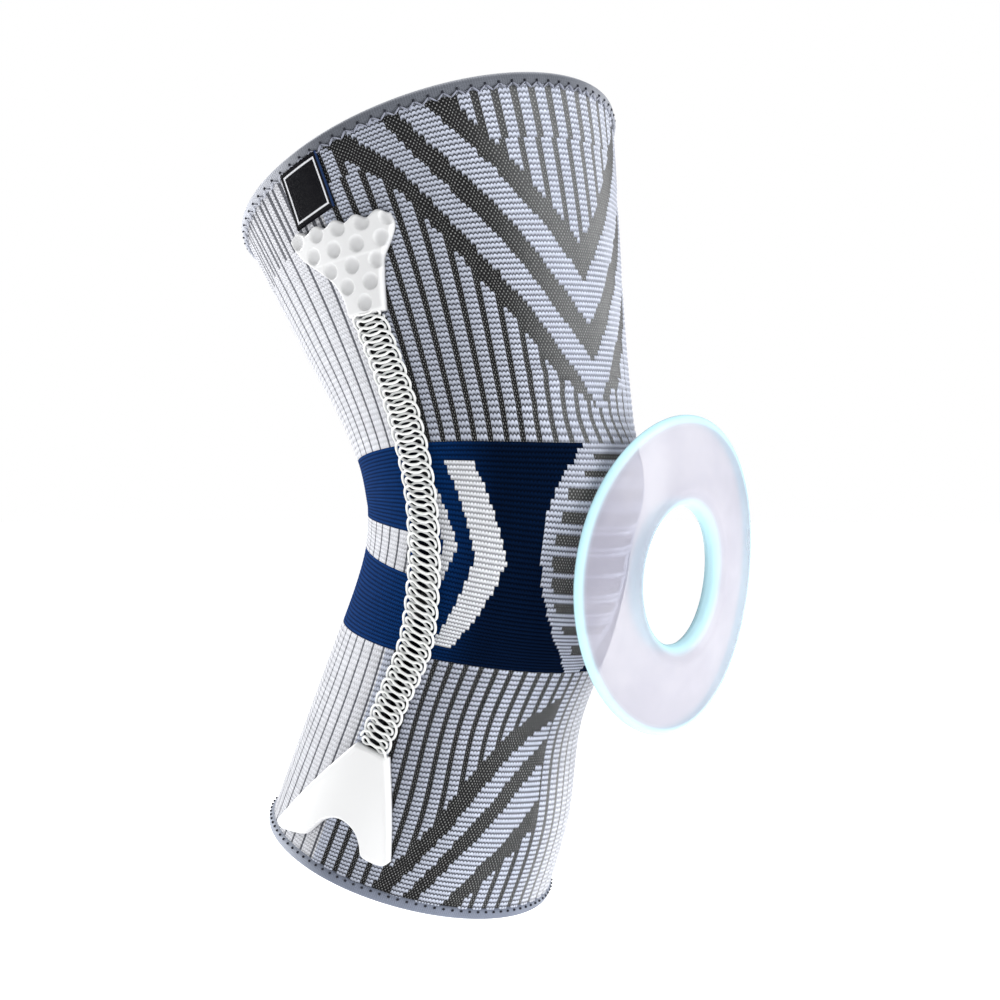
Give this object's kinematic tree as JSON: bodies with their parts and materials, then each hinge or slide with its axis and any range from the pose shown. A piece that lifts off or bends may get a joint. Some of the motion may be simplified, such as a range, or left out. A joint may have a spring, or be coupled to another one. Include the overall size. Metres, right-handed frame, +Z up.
{
  "type": "knee sleeve",
  "caption": "Ribbed knit knee sleeve bent as worn, with a navy knee band, a white spring stay down one side and a translucent oval gel ring at the kneecap.",
  "frame": {"origin": "on the leg's axis at the bend of the knee, inside the open sleeve", "axes": "+Z up the leg; the kneecap faces -Y; the side with the stay and the label is -X"},
  "size_m": [0.1519, 0.1688, 0.3054],
  "materials": {
    "knit": "ribbed jacquard knit, lavender grey, charcoal and navy",
    "hem": "folded elastic band with cover stitch",
    "label": "fine woven satin",
    "stay": "soft white plastic",
    "spring": "white coated wire",
    "gel": "translucent silicone gel"
  },
  "bodies": {
    "root": {"sleeve_body": "knit", "top_hem": "hem", "bottom_hem": "hem", "side_label": "label", "stay_upper_plate": "stay", "stay_lower_plate": "stay", "stay_spring": "spring", "gel_pad": "gel"}
  },
  "joints": []
}
